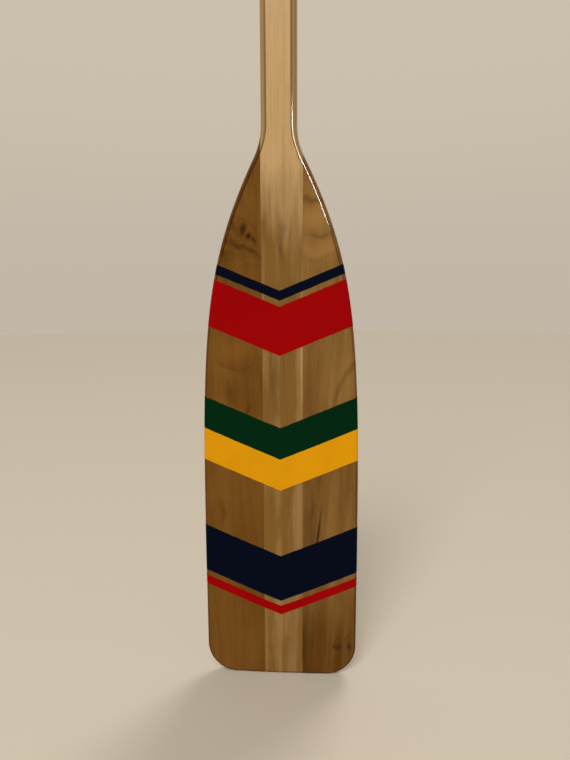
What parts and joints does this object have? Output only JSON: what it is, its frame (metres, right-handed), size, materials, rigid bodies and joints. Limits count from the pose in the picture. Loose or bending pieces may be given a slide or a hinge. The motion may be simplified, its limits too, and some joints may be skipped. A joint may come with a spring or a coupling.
{
  "type": "rowing oar",
  "caption": "Wooden rowing oar with a laminated, varnished blade painted in coloured chevron bands, a round loom with a stitched leather sleeve and leather button, and a turned handle.",
  "frame": {"origin": "centre of the blade's tip end, on the oar's centre line", "axes": "+Z from the tip to the handle along the oar, +X across the blade towards the right-hand board, -Y out of the blade's front face"},
  "size_m": [0.165, 0.0556, 1.83],
  "materials": {
    "stave_wood": "light straight-grained wood under gloss varnish, bare on the handle",
    "wing_wood": "brown figured wood under gloss varnish",
    "enamel_green": "gloss enamel paint on the blade",
    "enamel_red": "gloss enamel paint on the blade",
    "enamel_yellow": "gloss enamel paint on the blade",
    "enamel_navy": "gloss enamel paint on the blade",
    "sleeve_leather": "oiled harness leather, worn by the oarlock",
    "button_leather": "thick oiled leather strap with darker cut edges",
    "twine": "waxed twine",
    "copper": "copper, slightly darkened"
  },
  "bodies": {
    "root": {"loom_stave": "stave_wood", "left_wing": "wing_wood", "right_wing": "wing_wood", "leather_sleeve": "sleeve_leather", "seam_stitches": "twine", "sleeve_tacks": "copper", "button_inner_strap": "button_leather", "button_outer_strap": "button_leather", "button_tacks": "copper"}
  },
  "joints": []
}
